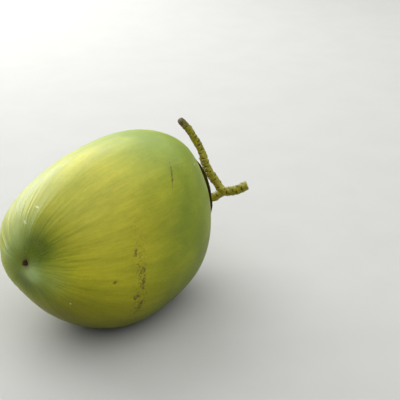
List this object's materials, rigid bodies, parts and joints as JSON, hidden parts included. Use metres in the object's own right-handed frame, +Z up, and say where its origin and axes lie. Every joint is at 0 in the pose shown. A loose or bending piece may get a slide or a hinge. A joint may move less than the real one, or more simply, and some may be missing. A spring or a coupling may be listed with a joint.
{
  "type": "green coconut",
  "caption": "Smooth three-sided green coconut on its side, with its leafy calyx, a forked piece of fruiting branch and a dried stigma; rests on a flat spot.",
  "frame": {"origin": "on the small flat spot on the fruit's underside, below the middle of its widest section", "axes": "+X along the fruit's length, from its tip towards its stalk; +Z up from the surface it rests on"},
  "size_m": [0.2613, 0.1545, 0.1667],
  "materials": {
    "husk": "living green husk with a thin wax bloom, satin",
    "inner_tepal": "leathery calyx leaf, pale green with a dry brown rim",
    "outer_tepal": "leathery calyx leaf, duller and drier than the inner ones",
    "branch": "living yellow-green stem with dark notched scars, dry and grey at its tip",
    "stigma": "dried, corky and dark"
  },
  "bodies": {
    "root": {"husk": "husk", "inner_tepal_1": "inner_tepal", "inner_tepal_2": "inner_tepal", "inner_tepal_3": "inner_tepal", "outer_tepal_1": "outer_tepal", "outer_tepal_2": "outer_tepal", "outer_tepal_3": "outer_tepal", "branch": "branch", "stigma": "stigma"}
  },
  "joints": []
}
